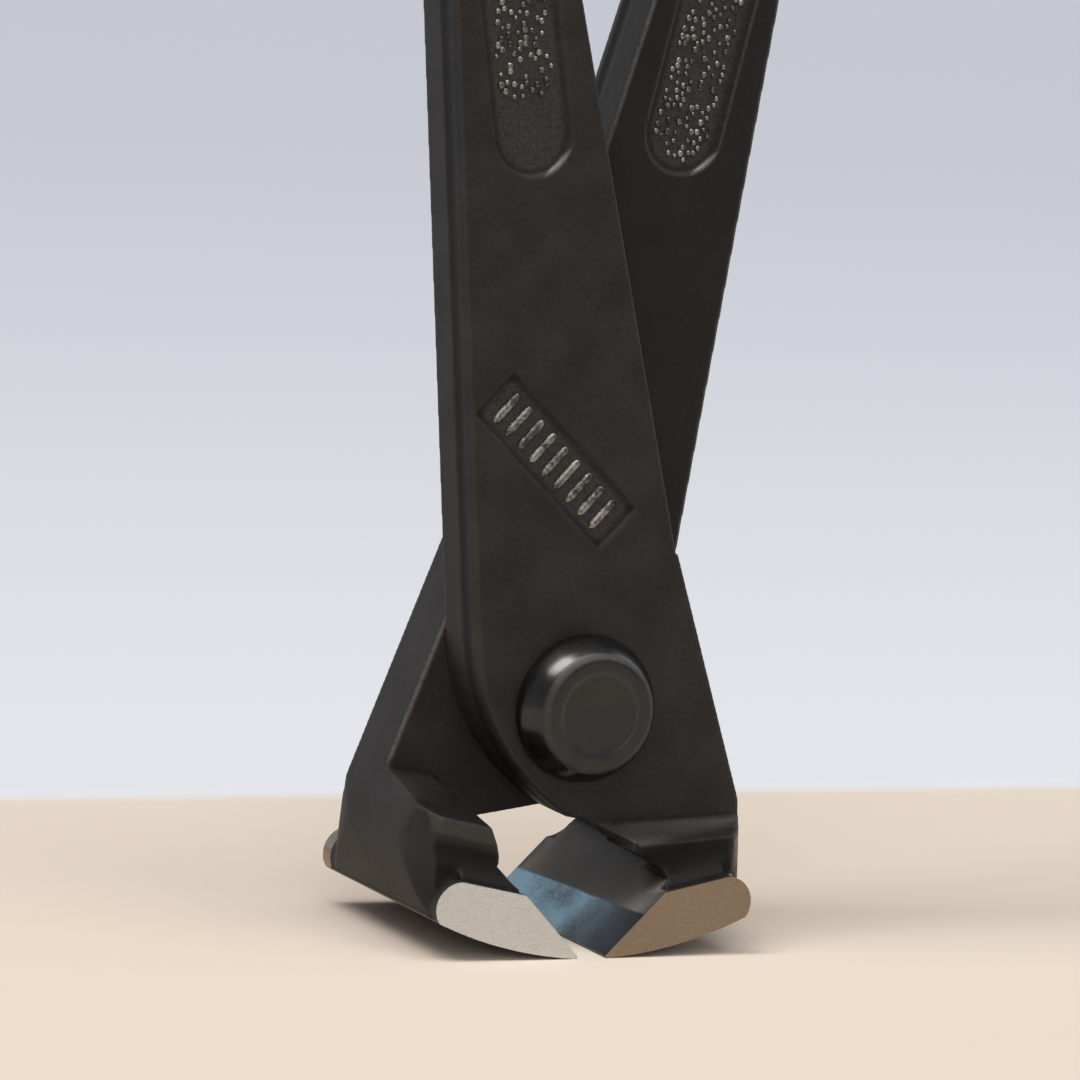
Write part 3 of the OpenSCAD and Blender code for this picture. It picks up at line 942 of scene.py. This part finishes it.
def makeSleeve(finish):
    low = solid["handleTop"] - solid["sleeveLength"]
    top = solid["handleTop"] + solid["sleeveWall"] - sleeve["domeDrop"]
    heights = [low, low + 0.02]
    heights += [low + sleeve["mouth"] * k / 6 for k in range(1, 7)]
    heights += [low + sleeve["lip"] * (0.5 + 0.14 * k) for k in range(0, 10)]
    heights += list(np.linspace(low + 2 * sleeve["lip"], top - sleeve["dome"], sleeve["rings"]))
    heights += [top - sleeve["dome"] * (1 - math.sin(math.pi / 2 * k / 18)) for k in range(1, 19)]
    heights = sorted(set(round(h, 5) for h in heights))
    curve = bpy.data.curves.new("handlePath", "CURVE")
    curve.dimensions = "3D"
    spline = curve.splines.new("POLY")
    spline.points.add(len(heights) - 1)
    middle = -(solid["plate"] + solid["lapHalf"]) / 2
    for point, height in zip(spline.points, heights):
        x, z = handlePoint(height)
        point.co = (x, middle, z, 1)
    return grow(bpy.data.objects.new("sleevePath", curve), makeSleeveTree(), {
        "Width": solid["handleWidth"] + 2 * solid["sleeveWall"],
        "Thickness": solid["plate"] - solid["lapHalf"] + 2 * solid["sleeveWall"],
        "Corner": sleeve["corner"], "Body": sleeve["body"], "Lip": sleeve["lip"],
        "Mouth": sleeve["mouth"], "Dome": sleeve["dome"], "Power": sleeve["domePower"],
        "Material": finish})


sleeveMesh = makeSleeve(sleeveFinish())
for side in sideBody:
    putPiece(side + "_sleeve_dip", sleeveMesh.copy(), side, side + "_sleeve")
print("sleeves dipped:", len(sleeveMesh.polygons), "faces")


# Cast relief in the sunk panels: pebbles in the long ones, plain ribs in the slanting one

relief = {
    "pebble": 0.3,           # mm
    "pebbleRange": (0.65, 1.2),  # least and most of that
    "pebbleHeight": 0.24,
    "spacing": 0.5,          # least distance between pebbles, mm
    "density": 2.6,          # most pebbles for each square mm
    "bareEnds": (3.4, -2.5),  # where the pebbles end above the panel's lower arc, plate and lap face, mm
    "margin": 1.0,
    "seed": 7,
    "ribs": 9,
    "ribHalf": 0.42,         # half of a rib's width, mm
    "ribHeight": 0.3,
    "ribMargin": 0.85,
    "ribEnds": 2.0,
    "roughness": 0.38,
    "metal": 0.8,
    "grainHeight": 0.03,     # mm
    "dark": (0.05, 0.047, 0.043, 1),
    "rubbed": (0.34, 0.325, 0.3, 1),
}


def makePebbleTree():
    tree, g, start = newTree("castPebbles", [
        ("Spacing", "Float"), ("Density", "Float"), ("Size", "Float"), ("Height", "Float"),
        ("Seed", "Int")])
    points = g.node("GeometryNodeDistributePointsOnFaces", {"distribute_method": "POISSON"}, {
        "Mesh": start, "Distance Min": start.out("Spacing"), "Density Max": start.out("Density"),
        "Seed": start.out("Seed")})
    pebble = g.node("GeometryNodeMeshUVSphere", {}, {"Segments": 8, "Rings": 4, "Radius": 1.0})
    least, most = relief["pebbleRange"]
    size = g.node("FunctionNodeRandomValue", {"data_type": "FLOAT"}, {
        2: least, 3: most, "Seed": start.out("Seed")}, out=1) * start.out("Size")
    scale = g.point(size, start.out("Height"), size)
    made = g.node("GeometryNodeInstanceOnPoints", {}, {
        "Points": points, "Instance": pebble, "Scale": scale})
    endTree(g, start, made)
    return tree


def panelMesh(y, inset, bareEnd):  # flat strip inside the long panel, without its bare end
    half = solid["panelWidth"] / 2 - inset
    middle = []
    along = np.array([-bowSin, bowCos])
    for d in np.linspace(bareEnd, solid["panelBack"], 14):
        width = math.sqrt(half * half - min(d, 0) ** 2)
        middle.append((neckMid + (d - solid["panelBack"]) * along, width * np.array([bowCos, bowSin])))
    for d in np.linspace(4, solid["panelUp"] + 1.5, 12):
        c, s = deg(solid["handleLean"] - math.degrees(d / solid["bowRadius"]))
        middle.append((bowC - solid["bowRadius"] * np.array([c, s]), half * np.array([c, s])))
    vertices, faces = [], []
    for centre, across in middle:
        for sign in (-1, 1):
            p = centre + sign * across
            vertices.append((p[0], y, p[1]))
    for k in range(len(middle) - 1):
        faces.append((2 * k, 2 * k + 1, 2 * k + 3, 2 * k + 2))
    mesh = bpy.data.meshes.new("panelStrip")
    mesh.from_pydata(vertices, [], faces)
    return mesh


def makeRibTree():
    tree, g, start = newTree("castRibs", [
        ("Count", "Int"), ("Run", "Float"), ("Length", "Float"), ("Half", "Float"), ("Height", "Float")])
    half = start.out("Run") * 0.5
    points = g.node("GeometryNodeMeshLine", {"mode": "END_POINTS"}, {
        "Count": start.out("Count"), "Start Location": g.point(-half), "Offset": g.point(half)})
    path = g.node("GeometryNodeCurvePrimitiveLine", {}, {
        "Start": g.point(z=start.out("Length") * -0.5), "End": g.point(z=start.out("Length") * 0.5)})
    path = g.node("GeometryNodeResampleCurve", {}, {"Curve": path, "Count": 17})
    share = g.node("GeometryNodeSplineParameter", {}, {}, out="Factor") * 2.0 - 1.0
    taper = (1 - (share * share) ** 4.0).most(0.02).root()
    ring = g.node("GeometryNodeCurvePrimitiveCircle", {}, {"Resolution": 10, "Radius": 1.0})
    bar = g.node("GeometryNodeCurveToMesh", {}, {
        "Curve": path, "Profile Curve": ring, "Scale": taper, "Fill Caps": True})
    bar = g.node("GeometryNodeTransform", {}, {
        "Geometry": bar, "Scale": g.point(start.out("Half"), start.out("Height"), 1.0)})
    made = g.node("GeometryNodeInstanceOnPoints", {}, {"Points": points, "Instance": bar})
    endTree(g, start, made)
    return tree


def reliefFinish():
    material, g = newFinish("castRelief")
    here = inMm(g)
    grain = g.noise(here, 3.0, 3.0, 0.6)
    cloud = g.noise(here, 0.4, 2.0)
    rubbed = (grain * 0.5 + cloud * 0.5).rise(0.38, 0.62)
    colour = g.mix(rubbed, relief["dark"], relief["rubbed"])
    rough = relief["roughness"] + (grain - 0.5) * 0.2 - rubbed * 0.08
    shade(g, colour, rough, grain * relief["grainHeight"], relief["metal"])
    return material


def makeRelief(finish):
    floors = (solid["panelDepth"] - solid["plate"], -solid["lapHalf"] - solid["panelDepth"])
    tree = makePebbleTree()
    parts = []
    for k, (y, bareEnd) in enumerate(zip(floors, relief["bareEnds"])):
        strip = bpy.data.objects.new("strip", panelMesh(y, relief["margin"], bareEnd))
        parts.append(grow(strip, tree, {
            "Spacing": relief["spacing"], "Density": relief["density"], "Size": relief["pebble"],
            "Height": relief["pebbleHeight"], "Seed": relief["seed"] + k, "Material": finish}))
    long, wide = solid["badgeSize"]
    blank = bpy.data.meshes.new("ribStart")
    ribs = grow(bpy.data.objects.new("ribStart", blank), makeRibTree(), {
        "Count": relief["ribs"], "Run": long - 2 * relief["ribEnds"],
        "Length": wide - 2 * relief["ribMargin"], "Half": relief["ribHalf"],
        "Height": relief["ribHeight"], "Material": finish})
    ribs.transform(Matrix.Rotation(math.radians(solid["badgeTurn"]), 4, "Y"))
    ribs.transform(Matrix.Translation((solid["badge"][0], floors[0], solid["badge"][1])))
    parts.append(ribs)
    joined = bmesh.new()
    for part in parts:
        joined.from_mesh(part)
    mesh = bpy.data.meshes.new("panelRelief")
    joined.to_mesh(mesh)
    joined.free()
    mesh.materials.append(finish)
    mesh.shade_smooth()
    return mesh


reliefMesh = makeRelief(reliefFinish())
for side in sideBody:
    putPiece(side + "_panel_relief", reliefMesh.copy(), side)
print("panel relief cast:", len(reliefMesh.polygons), "faces")


# Stage: pale floor, pale surroundings, soft lamps

stage = {
    "floor": (0.72, 0.622, 0.527, 1),
    "floorLight": (0.75, 0.66, 0.565, 1),
    "far": (0.78, 0.80, 0.84, 1),
    "farthest": (0.56, 0.575, 0.64, 1),
    "backEdge": ((0, 797), (1080, 785)),  # where the warm floor ends in the frame
    "edgeSoft": 0.004,       # metres
    "floorReach": 0.55,      # metres of warm floor round the tool
    "floorHalf": 4.0,        # metres
    "lampAim": (0, 0, 0.05),
    "worldStrength": 0.3,
    "mirrored": (0.45, 0.95),  # how bright the surroundings are in reflections, in front and behind
}
lamps = [  # name, place, width and depth, watts, colour
    ("ceilingSoftbox", (0.05, -0.35, 1.10), (1.3, 0.6), 6.6, (1.0, 0.98, 0.95)),
    ("leftSoftbox", (-0.56, -0.06, 1.10), (0.8, 0.3), 7.4, (1.0, 0.98, 0.95)),
    ("fillSoftbox", (1.0, 0.1, 0.6), (0.8, 0.8), 2.2, (0.94, 0.97, 1.0)),
    ("frontSoftbox", (-0.55, -1.15, 0.75), (1.0, 1.0), 3.4, (1.0, 0.98, 0.95)),
]


def seenRays(graph, mirrored=1.0):  # 1 for the rays that show the background, less for mirrored ones
    path = graph.node("ShaderNodeLightPath", {}, {}, out="Is Camera Ray")
    return path.most(path.out("Is Glossy Ray") * mirrored)


def mirroredShare(y, low, high):  # brighter behind the tool than in front
    ahead, astern = stage["mirrored"]
    return ahead + y.rise(low, high) * (astern - ahead)


def floorFinish():
    material, g = newFinish("paleFloor")
    own = g.own()
    x, y = g.parts(own)[:2]
    first, second = (floorAt(*spot) for spot in stage["backEdge"])
    run = (second - first).normalized()
    behind = y * run.x - x * run.y - (first.y * run.x - first.x * run.y)
    away = (x * x + y * y).root() - stage["floorReach"]
    far = behind.rise(-stage["edgeSoft"], stage["edgeSoft"]).most(away.rise(-0.12, 0.0))
    depth = 1 - 0.7 / (behind.most(away).most(0.0) + 0.79)
    tint = g.noise(g.stretch(own, (3.0, 14.0, 3.0)), 2.0, 3.0)
    warm = g.mix(tint, stage["floor"], stage["floorLight"])
    cool = g.mix(depth.rise(0.05, 0.62), stage["far"], stage["farthest"])
    plain = g.node("ShaderNodeBsdfDiffuse", {}, {"Color": g.mix(far, warm, stage["far"]), "Roughness": 0.5})
    shown = seenRays(g, mirroredShare(y, 0.1, 0.5))
    glow = g.node("ShaderNodeEmission", {}, {"Color": cool, "Strength": shown})
    surface = g.node("ShaderNodeMixShader", {}, {0: far * seenRays(g), 1: plain, 2: glow})
    g.node("ShaderNodeOutputMaterial", {}, {"Surface": surface})
    return material


def makeFloor():
    half = stage["floorHalf"]
    corners = [(-half, -half, 0), (half, -half, 0), (half, half, 0), (-half, half, 0)]
    mesh = bpy.data.meshes.new("paleFloor")
    mesh.from_pydata(corners, [], [(0, 1, 2, 3)])
    mesh.materials.append(floorFinish())
    link(bpy.data.objects.new("paleFloor", mesh))


def makeRoom():
    world = bpy.data.worlds.new("paleRoom")
    bpy.context.scene.world = world
    world.use_nodes = True
    world.node_tree.nodes.clear()
    g = Graph(world.node_tree)
    way = g.node("ShaderNodeTexCoord", {}, {}, out="Generated")
    y, z = g.parts(way)[1:]
    colour = g.mix(z.rise(-0.2, 0.7), stage["far"], stage["farthest"])
    strength = seenRays(g, mirroredShare(y, 0.55, 0.9)).most(stage["worldStrength"])
    sky = g.node("ShaderNodeBackground", {}, {"Color": colour, "Strength": strength})
    g.node("ShaderNodeOutputWorld", {}, {"Surface": sky})


def makeLamps():
    target = Vector(stage["lampAim"])
    for name, place, (width, depth), watts, tint in lamps:
        data = bpy.data.lights.new(name, "AREA")
        data.shape = "ELLIPSE"
        data.size, data.size_y = width, depth
        data.energy = watts
        data.color = tint
        lamp = link(bpy.data.objects.new(name, data))
        back = (Vector(place) - target).normalized()
        side = Vector((1, 0, 0))
        if abs(back.x) > 0.8:
            side = Vector((0, 1, 0))
        side = (side - back * side.dot(back)).normalized()
        turn = Matrix((side, back.cross(side), back)).transposed().to_4x4()
        lamp.matrix_world = Matrix.Translation(place) @ turn
        lamp.visible_camera = False


makeFloor()
makeRoom()
makeLamps()
bpy.context.scene.view_settings.view_transform = "Standard"
print("stage lit")

bpy.context.view_layer.update()
